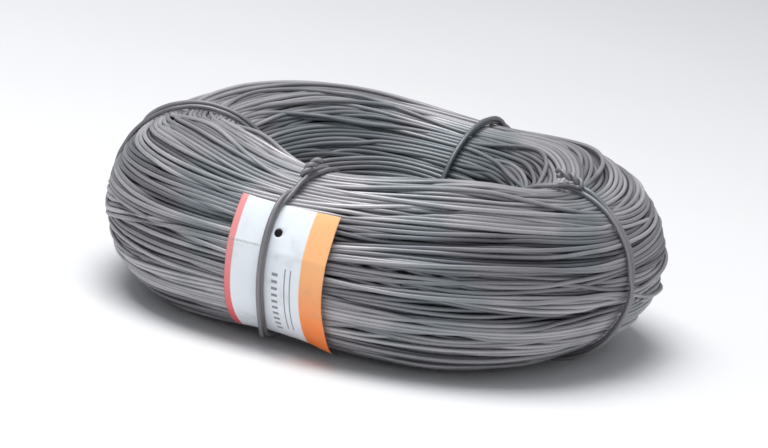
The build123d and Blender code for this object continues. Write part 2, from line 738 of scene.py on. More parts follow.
    def loosen(self) -> None:
        """Lifts some single turns off the bundle between two ties, so that they cross others.

        A stray turn rises by its height times a power of the sine of its share of the way from
        tie to tie, and slides round the section by its slide times the square of that sine.
        """
        straying = self.straying
        rng = np.random.default_rng(self.seed + 1)
        share = self.shape.share(self.angle)
        section = np.degrees(np.arctan2(self.up, self.across))
        reach = np.hypot(self.across, self.up)
        wall = self.shape.radius(self.angle) - WIRE_RADIUS
        wire = self.wires()
        place = np.arange(len(share))
        least, most = straying.middle
        liftable = (reach > wall - straying.top) & (share > least) & (share < most)
        angles = rng.uniform(0, 360, straying.tries)
        sections = rng.uniform(*straying.sides, straying.tries)
        for angle, toward in zip(angles, sections):
            away = np.abs(degrees_from(self.angle, angle)) < straying.catch[0]
            beside = np.abs(degrees_from(section, toward)) < straying.catch[1]
            found = np.nonzero(away & beside & liftable)[0]
            if len(found) == 0:
                continue
            middle = int(found[np.argmax(reach[found])])
            span = np.abs(place - middle) < self.stations // 2
            ties = np.nonzero(span & (np.abs(np.diff(share, append=share[-1])) > 0.5))[0]
            start = max([t + 1 for t in ties if t < middle], default=middle)
            end = min([t for t in ties if t >= middle], default=middle)
            turn = (place >= start) & (place <= end) & (wire == wire[middle])
            if turn.sum() < self.stations // 8 or not self.joined[start - 1 : end + 1].all():
                continue
            swell = np.sin(math.pi * share[turn])
            rise = rng.uniform(*straying.rise) * swell**straying.ease
            slide = rng.choice([-1.0, 1.0]) * rng.uniform(*straying.slide) * swell**2 / reach[turn]
            turned = np.radians(section[turn]) + slide
            far = np.maximum(reach[turn], wall[turn] - straying.lowest * swell) + rise
            self.across[turn], self.up[turn] = far * np.cos(turned), far * np.sin(turned)
        self.up = np.maximum(self.up, WIRE_RADIUS - self.shape.section_height)

    def refine(self) -> None:
        """Puts a point halfway between each two, on the cubic through four points.

        The new point is 9/16 of the two beside it less 1/16 of the next two, or the plain mean
        at a wire's ends.
        """
        rows = np.stack([self.across, self.up, self.angle, self.tone, self.layer.astype(float)])
        middle = 0.5 * (rows[:, :-1] + rows[:, 1:])
        inner = np.zeros(len(self.joined), bool)
        inner[1:-1] = self.joined[:-2] & self.joined[2:]
        bend = np.zeros_like(middle[:2])
        bend[:, 1:-1] = (rows[:2, 1:-2] + rows[:2, 2:-1]) - (rows[:2, :-3] + rows[:2, 3:])
        middle[:2] += np.where(inner, bend / 16.0, 0.0)
        onward = np.append(self.joined, False)
        keep = np.stack([np.ones(len(onward), bool), onward], 1).ravel()
        woven = np.empty((len(rows), len(onward) * 2))
        woven[:, 0::2] = rows
        woven[:, 1:-1:2] = middle
        woven[:, -1] = rows[:, -1]
        self.across, self.up, self.angle, self.tone, layer = woven[:, keep]
        self.layer = np.round(layer).astype(int)
        self.joined = np.repeat(onward, 2)[keep][:-1]

    def groove_shade_and_rub(self) -> Array:
        """Each point's tone from its depth: painted shade in a groove, lighter outside where it rubs."""
        proud = np.hypot(self.across, self.up) - self.shape.radius(self.angle) + WIRE_RADIUS
        return self.proud_tone * smooth_step(proud, *self.groove_to_proud_depths) + self.painted_groove_shade

    def path(self, chosen: Array) -> WirePath:
        """The wires of some of the points.

        Args:
            chosen: Which points are meant, as whole wires.

        Returns:
            Their path in the ring.
        """
        points = self.shape.place(self.angle[chosen], self.across[chosen], self.up[chosen])
        joined = np.append(self.joined, False)[chosen][:-1]
        # The tone carries painted shade on the turns that lie deep in the grooves.
        return WirePath(points, joined, (self.tone + self.groove_shade_and_rub())[chosen])

    def outward(self, chosen: Array) -> Array:
        """The direction out of the bundle at some of the points.

        Args:
            chosen: Which points are meant.

        Returns:
            The direction from the middle of the section to each point.
        """
        turn = np.radians(self.angle[chosen])
        across, up = self.across[chosen], self.up[chosen]
        return np.stack([across * np.cos(turn), across * np.sin(turn), up], -1)

    def wires(self) -> Array:
        """The number of the wire that each point is on."""
        return running_sum(~self.joined)

    def section_at(self, angle: float, reach: float) -> Array:
        """The wires' places near a plane through the coil's axis.

        Args:
            angle: Degrees round the axis of the plane.
            reach: How many degrees from the plane still count.

        Returns:
            Two rows: how far across and how far up each point is from the section's middle.
        """
        close = np.abs(degrees_from(self.angle, angle)) < reach
        return np.stack([self.across[close], self.up[close]])


class TiePlace(Enum):
    """Where round the coil a tie sits, by its number in the bundle's list of tie angles."""

    FRONT = 0
    RIGHT = 1
    BACK = 2
    LEFT = 3


@dataclass
class Label:
    """The label: a stiff sheet bent round the bundle under the front tie, punched near its top.

    Attributes:
        shape: The bundle that it lies on.
        width: Along the wires.
        length: Round the bundle.
        thickness: Of the sheet.
        top_angle: Degrees round the section of its upper end.
        shift: How far its middle lies to the right of the front tie.
        tilt: How far its upper end is moved to the left and its lower end to the right.
        seat: Between its underside and the bundle's waist.
        hole_radius: Of the punched hole.
        hole_inset: From the upper end to the middle of the hole.
        hole_shift: Of the hole's middle to the left of the label's.
        cell: The size of a cell of its grid.
        corner_curl: How far the lower right corner stands off the bundle.
        right_curl: How far the right edge does.
        left_curl: How far the left edge does.
        top_curl: How far the upper edge does.
        crease: How far the crease across it does.
        wave: The most that its slow wave adds, halved.
        held: The share of all these that the tie takes away where it lies.
        held_width: The distance from it over which that falls off.
    """

    shape: BundleShape
    width: float = 60.0
    length: float = 87.0
    thickness: float = 0.3
    top_angle: float = 42.0
    shift: float = 7.5
    tilt: float = 0.5
    seat: float = 0.45
    hole_radius: float = 2.5
    hole_inset: float = 16.5
    hole_shift: float = 2.5
    cell: float = 1.0
    corner_curl: float = 2.6
    right_curl: float = 1.2
    left_curl: float = 1.6
    top_curl: float = 1.0
    crease: float = 0.7
    wave: float = 0.25
    held: float = 0.9
    held_width: float = 5.0

    @property
    def radius(self) -> float:
        """The radius of the sheet's underside where it lies on the bundle."""
        return self.shape.waist_radius + self.seat

    @property
    def bottom_angle(self) -> float:
        """Degrees round the section of the lower end."""
        return self.top_angle - math.degrees(self.length / self.radius)

    def lift(self, u: Array, v: Array) -> Array:
        """How far the sheet stands off the bundle.

        The sum of a curl at the lower right corner, slighter ones at the other free edges, a
        crease across the sheet, which falls off as exp(-distance / 3.5 mm), and a slow wave, all
        held down to a tenth near the tie.

        Args:
            u: Share of the width from the left edge.
            v: Share of the length from the top edge.

        Returns:
            The distance in millimetres.
        """
        corner = self.corner_curl * smooth_step(u, 0.45, 1.0) * smooth_step(v, 0.72, 1.0)
        right = self.right_curl * smooth_step(u, 0.72, 1.0) * (0.4 + 0.6 * smooth_step(v, 0.1, 0.6))
        left = self.left_curl * smooth_step(1 - u, 0.80, 1.0) * (1 - 0.5 * v)
        top = self.top_curl * smooth_step(1 - v, 0.84, 1.0) * (0.4 + 0.6 * u)
        crease = self.crease * np.exp(-np.abs(v - 0.30 - 0.02 * u) * self.length / 3.5)
        wave = self.wave * (1 + np.sin(2 * math.pi * (1.3 * u + 1.7 * v)))
        tie_at = 0.5 - (self.shift - self.tilt * (1 - 2 * v)) / self.width
        held = 1 - self.held * np.exp(-0.5 * ((u - tie_at) * self.width / self.held_width) ** 2)
        return (corner + right + left + top + crease + wave) * held

    def sheet(self) -> tuple[Array, Array, Array]:
        """Lays the flat sheet out as a grid with its hole.

        The cells over the hole are left out, and the vertices beside them are moved onto its
        circle.

        Returns:
            How far across and how far down each vertex lies, and four vertex numbers for each
            cell.
        """
        columns = int(round(self.width / self.cell)) + 1
        rows = int(round(self.length / self.cell)) + 1
        across, down = np.meshgrid(np.linspace(0, self.width, columns), np.linspace(0, self.length, rows))
        number = np.arange(rows * columns).reshape(rows, columns)
        quads = np.stack([number[:-1, :-1], number[1:, :-1], number[1:, 1:], number[:-1, 1:]], -1)
        centre = np.array([self.width / 2 - self.hole_shift, self.hole_inset])
        middles = np.stack([across[:-1, :-1] + self.cell / 2, down[:-1, :-1] + self.cell / 2], -1) - centre
        open_cells = np.hypot(middles[..., 0], middles[..., 1]) < self.hole_radius
        rim = np.zeros((rows, columns), bool)
        for dr in (0, 1):
            for dc in (0, 1):
                rim[dr : rows - 1 + dr, dc : columns - 1 + dc] |= open_cells
        away = np.stack([across - centre[0], down - centre[1]], -1)
        reach = np.maximum(np.hypot(away[..., 0], away[..., 1]), TINY)
        across = np.where(rim, centre[0] + away[..., 0] * self.hole_radius / reach, across)
        down = np.where(rim, centre[1] + away[..., 1] * self.hole_radius / reach, down)
        return across.ravel(), down.ravel(), quads[~open_cells]

    def build(self) -> bpy.types.Object:
        """Makes the sheet.

        A point is at the shift of its share of the width, along the wires, and its arc length
        round the section over the radius, plus the lift.

        Returns:
            The label's object, with its print laid out from 0 to 1 both ways.
        """
        across, down, quads = self.sheet()
        u, v = across / self.width, down / self.length
        plane = TiePlane(self.shape, self.shape.tie_angles[TiePlace.FRONT.value])
        section_angle = self.top_angle - np.degrees(down / self.radius)
        left_edge = self.width / 2 - self.shift + self.tilt * (1 - 2 * v)
        points = plane.place(section_angle, self.radius + self.lift(u, v), left_edge - across)
        piece = build_mesh("label_sheet", points, quads, print_map=np.stack([u, v], -1))
        solid = piece.modifiers.new("thickness", "SOLIDIFY")
        solid.thickness = self.thickness * MM
        solid.offset = 1.0
        return piece


@dataclass
class Tie:
    """A tie: one wire that goes twice round the bundle and whose two ends are twisted together.

    The two rounds lie a pitch apart. Where they are pinched together or cross, the second one
    rides up on the first. The ends come together over the middle of the two rounds.

    Attributes:
        place: Where round the coil it sits.
        shape: The bundle that it goes round.
        twist_angle: Degrees round the section where the twist starts.
        seed: Starts the random draws.
        label: The label that lies under it, if there is one.
        footing: Degrees from its plane within which the wires lie that carry it.
        slack: How far it lies off what it is drawn over.
        label_slack: How far it lies off the label besides.
        pitch: How far apart the two rounds lie.
        pinch: How much nearer they lie where they are pinched together.
        pinch_angle: Degrees round the section of the middle of the pinch.
        pinch_reach: Degrees to each side of it that the pinch goes.
        pinch_ends: Degrees beyond and within that reach over which the pinch eases off.
        climb: The shares of its way between which it climbs onto its first round.
        meeting: Degrees from the twist within which the ends are together, and over which they
            come together.
        meeting_lift: How far the ends rise where they meet.
        lean: How far it is carried to the right at the top of the bundle and to the left below.
        sway: How far each round sways along the wires.
        twist_length: Of the twisted ends.
        twist_turns: How many times they go round each other.
        twist_slope: How many degrees more steeply the twist starts than it ends.
        twist_end_slope: Degrees at which its end still climbs.
        twist_bend: The length over which it bends over.
        twist_lift: How far above the tie's middle it starts.
        twist_skew: How far its end is carried along the wires.
        twist_spread: How far each end's middle lies from the twist's axis, in wire radii.
        twist_splay: How much further the ends stand apart at the tips.
        twist_cut: How many points shorter the second end is.
    """

    place: TiePlace
    shape: BundleShape
    twist_angle: float
    seed: int
    label: Label | None = None
    footing: float = 3.5
    slack: float = 0.15
    label_slack: float = 0.25
    pitch: float = 3.3
    pinch: float = 2.0
    pinch_angle: float = 0.0
    pinch_reach: float = 40.0
    pinch_ends: tuple[float, float] = (22.0, 6.0)
    climb: tuple[float, float] = (0.47, 0.53)
    meeting: tuple[float, float] = (3.0, 24.0)
    meeting_lift: float = 0.9 * WIRE_DIAMETER
    lean: float = 0.0
    sway: float = 0.8
    twist_length: float = 16.0
    twist_turns: float = 1.5
    twist_slope: float = 50.0
    twist_end_slope: float = 4.0
    twist_bend: float = 4.5
    twist_lift: float = 0.8
    twist_skew: float = 4.0
    twist_spread: float = 1.06
    twist_splay: float = 0.7
    twist_cut: int = 6

    @property
    def node(self) -> str:
        """The name of the solid that the tie stands for."""
        return f"tie_{self.place.name.lower()}"

    @property
    def plane(self) -> TiePlane:
        """The plane that the tie lies in."""
        return TiePlane(self.shape, self.shape.tie_angles[self.place.value])

    def taut_radius(self, section: Array, section_angle: Array) -> Array:
        """How far from the section's middle the tie's own middle runs.

        The tie is a string drawn tight: the smallest convex curve round a circle of twice the
        wire's radius about each wire, found as the least, over all directions less than about
        78 degrees off, of the farthest reach in that direction divided by the cosine of the
        angle to it.

        Args:
            section: The wires' places in the tie's plane.
            section_angle: Degrees round the section at which the radius is wanted.

        Returns:
            The radius at each angle.
        """
        around = np.radians(np.arange(0, 360, 2.0))
        reach = np.hypot(section[0], section[1])
        toward = np.arctan2(section[1], section[0])
        far = (reach[:, None] * np.cos(toward[:, None] - around[None, :])).max(0) + WIRE_DIAMETER
        if self.label is not None:
            angles = np.linspace(self.label.top_angle, self.label.bottom_angle, 60)
            over = self.label.radius + self.label.thickness + WIRE_RADIUS + self.label_slack
            cover = (over * np.cos(np.radians(angles)[:, None] - around[None, :])).max(0)
            far = np.maximum(far, cover)
        off = np.cos(np.radians(section_angle)[:, None] - around[None, :])
        least = 0.2
        bound = np.where(off > least, far[None, :] / np.maximum(off, least), np.inf)
        return bound.min(1) + self.slack

    def path(self, winding: Winding) -> WirePath:
        """The wire's path from one end of the twist, twice round the bundle, to the other end.

        The sway of a round is its size times (cos a + 0.6 cos 2b), with a and b the angle round
        the section from two random starts. The lean goes by the fifth power of the sine of the
        angle round the section.

        Args:
            winding: The settled turns that the tie goes round.

        Returns:
            The path, with its sharp turns rounded by three running means.
        """
        rng = np.random.default_rng(self.seed)
        section = winding.section_at(self.plane.angle, self.footing)
        two_rounds = 720.0
        t = np.linspace(0.0, 1.0, 720)
        section_angle = self.twist_angle - two_rounds * t
        beyond = np.abs(degrees_from(section_angle, self.pinch_angle)) - self.pinch_reach
        outside, within = self.pinch_ends
        pitch = self.pitch - self.pinch * smooth_step(-beyond, -outside, within)
        ride = np.sqrt(np.clip(WIRE_DIAMETER**2 - pitch**2, 0.0, None)) * smooth_step(t, *self.climb)
        meet = 1.0 - smooth_step(two_rounds * np.minimum(t, 1.0 - t), *self.meeting)
        radius = self.taut_radius(section, section_angle) + ride + self.meeting_lift * meet
        first, second = np.radians(section_angle[:, None] + rng.uniform(0, 360, 2)).T
        wander = self.sway * (np.cos(first) + 0.6 * np.cos(2 * second))
        apart = pitch * (2 * t - 1) * (1 - meet) + np.sign(t - 0.5) * self.twist_spread * WIRE_RADIUS * meet
        shift = apart + wander - self.lean * np.sin(np.radians(section_angle)) ** 5
        wrap = self.plane.place(section_angle, radius, shift)
        start, end = self.twist(radius[[0, -1]].mean(), shift[[0, -1]].mean())
        if shift[0] < shift[-1]:
            start, end = end, start
        points = self.even(np.concatenate([start[::-1], wrap, end]), WIRE_DIAMETER / 3)
        for _ in range(3):
            points[1:-1] = 0.25 * points[:-2] + 0.5 * points[1:-1] + 0.25 * points[2:]
        tone = rng.uniform(0.2, 0.5)
        return WirePath(points, np.ones(len(points) - 1, bool), np.full(len(points), tone))

    def twist(self, foot_radius: float, foot_shift: float) -> tuple[Array, Array]:
        """The two ends of the wire, twisted round each other.

        Their common axis starts at the foot, stands up from the bundle at the twist's slope, and
        bends over to lie along it, the slope falling off as exp(-length / bend). It slides
        sideways as it goes. Each end is a helix about it, half a turn from the other.

        Args:
            foot_radius: The tie's radius at the foot.
            foot_shift: The foot's distance along the wires from the tie's plane.

        Returns:
            The two ends' points, from the foot outwards.
        """
        count = 80
        run = np.linspace(0.0, 1.0, count)
        step = self.twist_length / (count - 1)
        bent = np.exp(-run * self.twist_length / self.twist_bend)
        slope = math.radians(self.twist_end_slope) + math.radians(self.twist_slope) * bent
        radius = foot_radius + self.twist_lift + step * running_sum(np.sin(slope[:-1]))
        onward = step * running_sum(np.cos(slope[:-1]))
        section_angle = self.twist_angle + np.degrees(onward / foot_radius)
        axis = self.plane.place(section_angle, radius, foot_shift + self.twist_skew * run**1.5)
        along = unit(np.gradient(axis, axis=0))
        side = unit(self.plane.along - (along @ self.plane.along)[:, None] * along)
        third = np.cross(along, side)
        turn = 2 * math.pi * self.twist_turns * run
        spread = WIRE_RADIUS * (self.twist_spread + self.twist_splay * smooth_step(run, 0.80, 1.0))
        ends = []
        for half in (0.0, math.pi):
            offset = np.cos(turn + half)[:, None] * side + np.sin(turn + half)[:, None] * third
            ends.append(axis + spread[:, None] * offset)
        return ends[0], ends[1][: -self.twist_cut]

    @staticmethod
    def even(points: Array, spacing: float) -> Array:
        """Spaces points evenly along their path.

        Args:
            points: The path.
            spacing: The distance wanted between points.

        Returns:
            The path read off at equal steps of its length.
        """
        length = running_sum(np.linalg.norm(np.diff(points, axis=0), axis=1))
        marks = np.linspace(0.0, length[-1], int(length[-1] / spacing))
        return np.stack([np.interp(marks, length, points[:, i]) for i in range(3)], -1)

    def build(self, winding: Winding) -> bpy.types.Object:
        """Makes the tie's wire.

        Args:
            winding: The settled turns that the tie goes round.

        Returns:
            The tie's object.
        """
        path = self.path(winding)
        middle = self.plane.place(np.array([0.0]), np.array([0.0]), np.array([0.0]))[0]
        return path.tubes(f"{self.node}_wire", WIRE_RADIUS, 10, path.points - middle)


class Nodes:
    """A material's node tree, with short ways to add to it."""

    def __init__(self, name: str) -> None:
        """Starts a material with only its surface shader.

        Args:
            name: The material's name.
        """
        self.material = bpy.data.materials.new(name)
        self.material.use_nodes = True
        self.tree = self.material.node_tree
        self.surface = self.tree.nodes["Principled BSDF"]

    def add(self, kind: str, **settings: object) -> bpy.types.Node:
        """Adds a node.

        Args:
            kind: The node's type name.
            **settings: Its own settings by name.

        Returns:
            The node.
        """
        node = self.tree.nodes.new(kind)
        for key, value in settings.items():
            setattr(node, key, value)
        return node

    def put(self, value: object, target: Socket) -> None:
        """Links a socket to the target, or sets a plain value on it."""
        if isinstance(value, Socket):
            self.tree.links.new(value, target)
        else:
            target.default_value = value

    def finish(self, values: dict[str, object]) -> None:
        """Puts sockets or plain values on the surface shader.

        Args:
            values: Each by the name of its socket.
        """
        for name, value in values.items():
            self.put(value, self.surface.inputs[name])

    def math(self, operation: str, first: object, second: object = 0.0, third: object = None) -> Socket:
        """Adds a sum, product or the like of up to three numbers.

        Args:
            operation: The operation's name.
            first: A socket or a number.
            second: A socket or a number.
            third: A socket or a number, for an operation that takes it.

        Returns:
            The result's socket.
        """
        node = self.add("ShaderNodeMath", operation=operation)
        self.put(first, node.inputs[0])
        self.put(second, node.inputs[1])
        if third is not None:
            self.put(third, node.inputs[2])
        return node.outputs[0]

    def mix(self, share: object, first: object, second: object) -> Socket:
        """Adds a mix of two colours.

        Args:
            share: A socket or a number from 0, all first, to 1, all second.
            first: A socket or a colour.
            second: A socket or a colour.

        Returns:
            The mixed colour's socket.
        """
        # The node has sockets for each kind of value. Those for colours are the third of each.
        node = self.add("ShaderNodeMix", data_type="RGBA")
        self.put(share, node.inputs["Factor"])
        for value, socket in ((first, node.inputs[6]), (second, node.inputs[7])):
            self.put((*value, 1.0) if isinstance(value, tuple) else value, socket)
        return node.outputs[2]

    def noise(self, vector: Socket, scale: float = 1.0, detail: float = 2.0) -> Socket:
        """Adds a noise pattern.

        Args:
            vector: Where it is read.
            scale: How many features to a unit of length.
            detail: How many finer patterns are added to it.

        Returns:
            The socket of a number about 0.5.
        """
        node = self.add("ShaderNodeTexNoise")
        self.put(scale, node.inputs["Scale"])
        self.put(detail, node.inputs["Detail"])
        self.put(vector, node.inputs["Vector"])
        return node.outputs["Fac"]

    def ramp(self, value: Socket, stops: list[tuple[float, Rgb]]) -> Socket:
        """Adds a colour for each number.

        Args:
            value: The number's socket.
            stops: Pairs of a number and a colour, in order.

        Returns:
            The colour's socket.
        """
        node = self.add("ShaderNodeValToRGB")
        band = node.color_ramp
        band.elements[0].position, band.elements[1].position = stops[0][0], stops[-1][0]
        band.elements[0].color, band.elements[1].color = (*stops[0][1], 1), (*stops[-1][1], 1)
        for position, colour in stops[1:-1]:
            band.elements.new(position).color = (*colour, 1)
        self.put(value, node.inputs["Fac"])
        return node.outputs["Color"]

    def step(self, value: Socket, low: float, high: float) -> Socket:
        """Adds a smooth rise from 0 at one value to 1 at another.

        Args:
            value: The socket that is read.
            low: Where the rise starts.
            high: Where it ends.

        Returns:
            The socket of the rise.
        """
        node = self.add("ShaderNodeMapRange", interpolation_type="SMOOTHSTEP")
        self.put(value, node.inputs["Value"])
        self.put(low, node.inputs["From Min"])
        self.put(high, node.inputs["From Max"])
        return node.outputs["Result"]

    def between(self, value: Socket, low: float, high: float) -> Socket:
        """Adds a number that is 1 between two values and 0 beyond them.

        Args:
            value: The socket that is read.
            low: The lower value.
            high: The higher value.

        Returns:
            The number's socket.
        """
        above = self.math("GREATER_THAN", value, low)
        return self.math("MULTIPLY", above, self.math("LESS_THAN", value, high))

    def stretched(self, vector: Socket, scale: tuple[float, float, float]) -> Socket:
        """Adds a scaled copy of a vector.

        Args:
            vector: The vector's socket.
            scale: What each part is multiplied by.

        Returns:
            The scaled vector's socket.
        """
        node = self.add("ShaderNodeMapping")
        self.put(scale, node.inputs["Scale"])
        self.put(vector, node.inputs["Vector"])
        return node.outputs["Vector"]

    def bump(self, height: Socket, depth: float, strength: float) -> None:
        """Adds relief to the surface.

        Args:
            height: The socket of the relief's height.
            depth: The relief's depth in metres.
            strength: How much of it shows.
        """
        node = self.add("ShaderNodeBump")
        self.put(strength, node.inputs["Strength"])
        self.put(depth, node.inputs["Distance"])
        self.put(height, node.inputs["Height"])
        self.finish({"Normal": node.outputs["Normal"]})


@dataclass(frozen=True)
class AnnealedWire:
    """Black annealed wire: a dull grey oxide, lighter where it has rubbed, with drawn streaks.

    Attributes:
        name: The material's name.
        dark: The oxide at its darkest.
        middle: The oxide on most of the wire.
        light: The wire where it has rubbed.
        blue: The bluer oxide of patches, and the painted sky reflection in the eye.
        patch_scale: Features of the oxide patches to a metre, twice across the wire and along it.
        streak_scale: The same for the drawn streaks.
        speck_scale: The same for the specks.
        patchiness: How much the patches change the tone.
        bluing: The share of blue where it is strongest.
        rubbing: The share of the light colour in a streak.
        darkening: The share of the dark colour in a speck.
        eye_edges: How far from the axis, in metres, the eye's painted shade and tint start and are full.
        eye_sky_tint: How much bluer the eye is, a painted reflection of the sky.
        eye_painted_shade: How much darker the eye is, painted shade in the coil's hollow.
        metallic: The share of bare metal.
        roughness: Of the surface, on the whole.
        rough_patches: How much the patches change the roughness.
        specular: How strongly the oxide reflects.
        relief: The depth of the streaks and specks in metres.
    """

    name: str
    dark: Rgb = (0.135, 0.130, 0.146)
    middle: Rgb = (0.280, 0.270, 0.287)
    light: Rgb = (0.475, 0.462, 0.478)
    blue: Rgb = (0.170, 0.215, 0.230)
    patch_scale: tuple[float, float, float] = (150.0, 150.0, 14.0)
    streak_scale: tuple[float, float, float] = (1900.0, 1900.0, 60.0)
    speck_scale: tuple[float, float, float] = (1500.0, 1500.0, 1500.0)
    patchiness: float = 0.75
    bluing: float = 0.55
    rubbing: float = 0.35
    darkening: float = 0.45
    eye_edges: tuple[float, float] = (0.105, 0.070)
    eye_sky_tint: float = 0.18
    eye_painted_shade: float = 0.34
    metallic: float = 0.42
    roughness: float = 0.48
    rough_patches: float = 0.30
    specular: float = 0.35
    relief: float = 0.00006

    def build(self) -> bpy.types.Material:
        """Makes the material.

        Its colour follows the wire's tone, which holds painted shade in the grooves, with oxide
        patches along the wire, drawn streaks and specks, and painted shade and a painted blue sky
        reflection in the eye. Its patterns are read off the attribute "skin", which runs round and
        along the wire.

        Returns:
            The material.
        """
        nodes = Nodes(self.name)
        skin = nodes.add("ShaderNodeAttribute", attribute_name="skin").outputs["Vector"]
        tone = nodes.add("ShaderNodeAttribute", attribute_name="tone").outputs["Fac"]
        place = nodes.add("ShaderNodeTexCoord").outputs["Object"]
        patches = nodes.noise(nodes.stretched(skin, self.patch_scale), detail=3.0)
        streaks = nodes.noise(nodes.stretched(skin, self.streak_scale))
        specks = nodes.noise(nodes.stretched(skin, self.speck_scale))
        eye = self.in_eye(nodes, place)
        # Painted reflection: the eye takes a blue tint from the sky.
        cast = nodes.math("ADD", nodes.noise(place, 16.0), nodes.math("MULTIPLY", eye, self.eye_sky_tint))
        shade = nodes.math("MULTIPLY_ADD", patches, self.patchiness, -0.5 * self.patchiness)
        lightness = nodes.math("ADD", tone, shade)
        # Painted shade: the eye is darkened.
        lightness = nodes.math("SUBTRACT", lightness, nodes.math("MULTIPLY", eye, self.eye_painted_shade))
        colour = nodes.ramp(lightness, [(0.05, self.dark), (0.5, self.middle), (0.98, self.light)])
        bluer = nodes.math("MULTIPLY", nodes.step(cast, 0.50, 0.68), self.bluing)
        colour = nodes.mix(bluer, colour, self.blue)
        rubbed = nodes.math("MULTIPLY", nodes.step(streaks, 0.55, 0.80), self.rubbing)
        colour = nodes.mix(rubbed, colour, self.light)
        soiled = nodes.math("MULTIPLY", nodes.step(specks, 0.60, 0.74), self.darkening)
        colour = nodes.mix(soiled, colour, self.dark)
        smoothest = self.roughness - 0.5 * self.rough_patches
        dullness = nodes.math("MULTIPLY_ADD", patches, self.rough_patches, smoothest)
        nodes.bump(nodes.math("ADD", streaks, nodes.math("MULTIPLY", specks, 0.7)), self.relief, 0.8)
        nodes.finish({"Base Color": colour, "Roughness": dullness})
        nodes.finish({"Metallic": self.metallic, "Specular IOR Level": self.specular})
        return nodes.material

    def in_eye(self, nodes: Nodes, place: Socket) -> Socket:
        """Adds a number that grows towards the coil's axis, where painted shade and a painted sky tint go.

        Args:
            nodes: The material that it goes into.
            place: The socket of the place on the coil.

        Returns:
            The socket of the number: 0 on the outside of the coil, 1 in its eye.
        """
        away = nodes.add("ShaderNodeVectorMath", operation="LENGTH")
        nodes.put(nodes.stretched(place, (1.0, 1.0, 0.0)), away.inputs[0])
        return nodes.step(away.outputs["Value"], *self.eye_edges)


@dataclass(frozen=True)
class DeepWireShade:
    """The wire deep in the bundle, darkened with painted shade; only dark lines of it show between the outer
    turns.

    Attributes:
        name: The material's name.
        light: Its lighter colour.
        dark: Its darker colour.
    """

    name: str = "deep_wire_shade"
    light: Rgb = (0.045, 0.043, 0.048)
    dark: Rgb = (0.027, 0.0258, 0.0288)

    def build(self) -> bpy.types.Material:
        """Makes the material, a painted shade of dull dark grey mottled over a few millimetres."""
        nodes = Nodes(self.name)
        mottle = nodes.noise(nodes.add("ShaderNodeTexCoord").outputs["Object"], 260.0)
        colour = nodes.ramp(mottle, [(0.35, self.dark), (0.65, self.light)])
        nodes.finish({"Base Color": colour, "Roughness": 0.7, "Metallic": 0.3})
        return nodes.material


